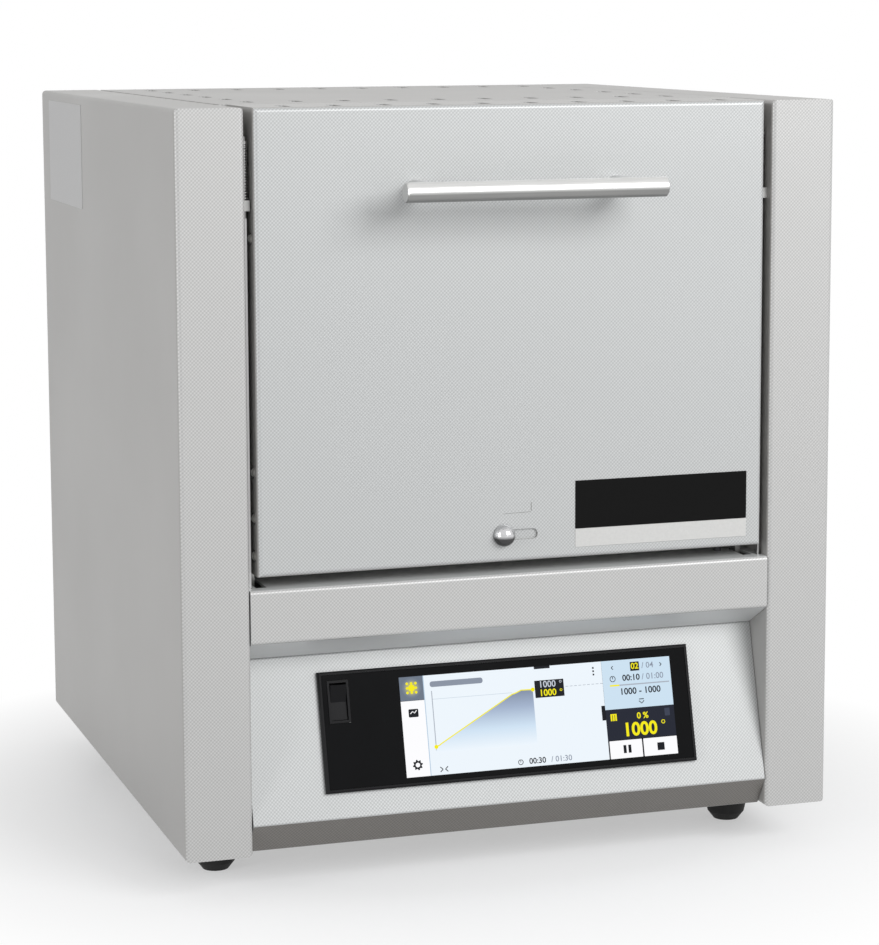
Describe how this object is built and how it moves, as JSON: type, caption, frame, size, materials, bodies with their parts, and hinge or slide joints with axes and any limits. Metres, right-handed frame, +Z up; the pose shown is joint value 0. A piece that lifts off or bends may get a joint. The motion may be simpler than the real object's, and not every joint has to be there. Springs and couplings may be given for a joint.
{
  "type": "muffle furnace",
  "caption": "Benchtop laboratory muffle furnace with a flap door, bar handle, air inlet slide, heated ceramic chamber, slanted control panel with touch display, and rubber feet.",
  "frame": {"origin": "on the surface the feet stand on, at the middle of the whole part's width and depth", "axes": "+Z up, +X to the right and -Y to the front as seen by someone who faces the door"},
  "size_m": [0.385, 0.4485, 0.4366],
  "materials": {
    "case_paint": "satin",
    "door_paint": "satin",
    "inner_steel": "satin",
    "bright_steel": "polished",
    "spring_steel": "satin",
    "fibre": "matte",
    "ceramic": "matte",
    "black_plastic": "satin",
    "inner_plastic": "matte",
    "screen": "gloss",
    "cover_glass": "gloss",
    "circuit_board": "satin",
    "heat_sink_aluminium": "satin",
    "foot_rubber": "matte"
  },
  "bodies": {
    "casing": {"left_side_casing": "case_paint", "right_side_casing": "case_paint", "top_cover": "case_paint", "front_rail": "case_paint", "control_panel": "case_paint", "rear_panel": "case_paint", "base_plate": "case_paint", "partition_plate": "inner_steel", "collar_plate": "inner_steel", "chamber_shell": "inner_steel", "hinge_brackets": "inner_steel", "balance_guides": "inner_steel", "exhaust_flange": "bright_steel", "casing_screws": "bright_steel", "hinge_pins": "bright_steel", "balance_spring_left": "spring_steel", "balance_spring_right": "spring_steel", "fibre_collar": "fibre", "insulation_floor": "fibre", "insulation_roof": "fibre", "insulation_left": "fibre", "insulation_right": "fibre", "insulation_rear": "fibre", "floor_tile": "ceramic", "heating_plate_left": "ceramic", "heating_plate_right": "ceramic", "exhaust_tube": "ceramic", "thermocouple": "ceramic", "heater_leads": "ceramic", "display_bezel": "black_plastic", "switch_housing": "black_plastic", "mains_inlet": "black_plastic", "thermocouple_head": "black_plastic", "door_switch": "inner_plastic", "solid_state_relay": "inner_plastic", "power_supply": "inner_plastic", "terminal_block": "inner_plastic", "display_module": "screen", "display_glass": "cover_glass", "control_board": "circuit_board", "relay_heat_sink": "heat_sink_aluminium", "rubber_feet": "foot_rubber"},
    "door": {"door_shell": "door_paint", "door_inner_plate": "inner_steel", "door_insulation": "fibre", "door_screws": "bright_steel", "handle_bar": "bright_steel", "handle_posts": "bright_steel", "air_tube": "ceramic", "air_guides": "inner_steel", "hinge_arm_left": "inner_steel", "hinge_arm_right": "inner_steel", "balance_studs": "bright_steel"},
    "air_slide": {"air_slide": "inner_steel", "air_knob": "bright_steel"},
    "rocker": {"rocker": "black_plastic"},
    "balance_rod_left": {"balance_rod_left": "bright_steel"},
    "balance_rod_right": {"balance_rod_right": "bright_steel"},
    "door_switch_plunger": {"door_switch_plunger": "inner_plastic"}
  },
  "joints": [
    {"name": "door_hinge", "type": "hinge", "parent": "casing", "child": "door", "pos_m": [0, -0.17075, 0.1625], "axis": [1, 0, 0], "range_deg": [0, 90]},
    {"name": "air_slide_travel", "type": "slide", "parent": "door", "child": "air_slide", "axis": [1, 0, 0], "range_m": [0, 0.017]},
    {"name": "power_rocker", "type": "hinge", "parent": "casing", "child": "rocker", "pos_m": [-0.1005, -0.16729, 0.1043], "axis": [1, 0, 0], "range_deg": [-14, 0]},
    {"name": "balance_rod_left_travel", "type": "slide", "parent": "casing", "child": "balance_rod_left", "axis": [0, 0, -1], "range_m": [0, 0.0142], "deforming": ["balance_spring_left"]},
    {"name": "balance_rod_right_travel", "type": "slide", "parent": "casing", "child": "balance_rod_right", "axis": [0, 0, -1], "range_m": [0, 0.0142], "deforming": ["balance_spring_right"]},
    {"name": "door_switch_travel", "type": "slide", "parent": "casing", "child": "door_switch_plunger", "axis": [0, 0, 1], "range_m": [0, 0.003]}
  ],
  "couplings": [
    {"joint": "balance_rod_left_travel", "follows": "door_hinge", "m_per_rad": 0.0090032},
    {"joint": "balance_rod_right_travel", "follows": "door_hinge", "m_per_rad": 0.0090032},
    {"joint": "door_switch_travel", "follows": "door_hinge", "m_per_rad": 0.0019}
  ]
}
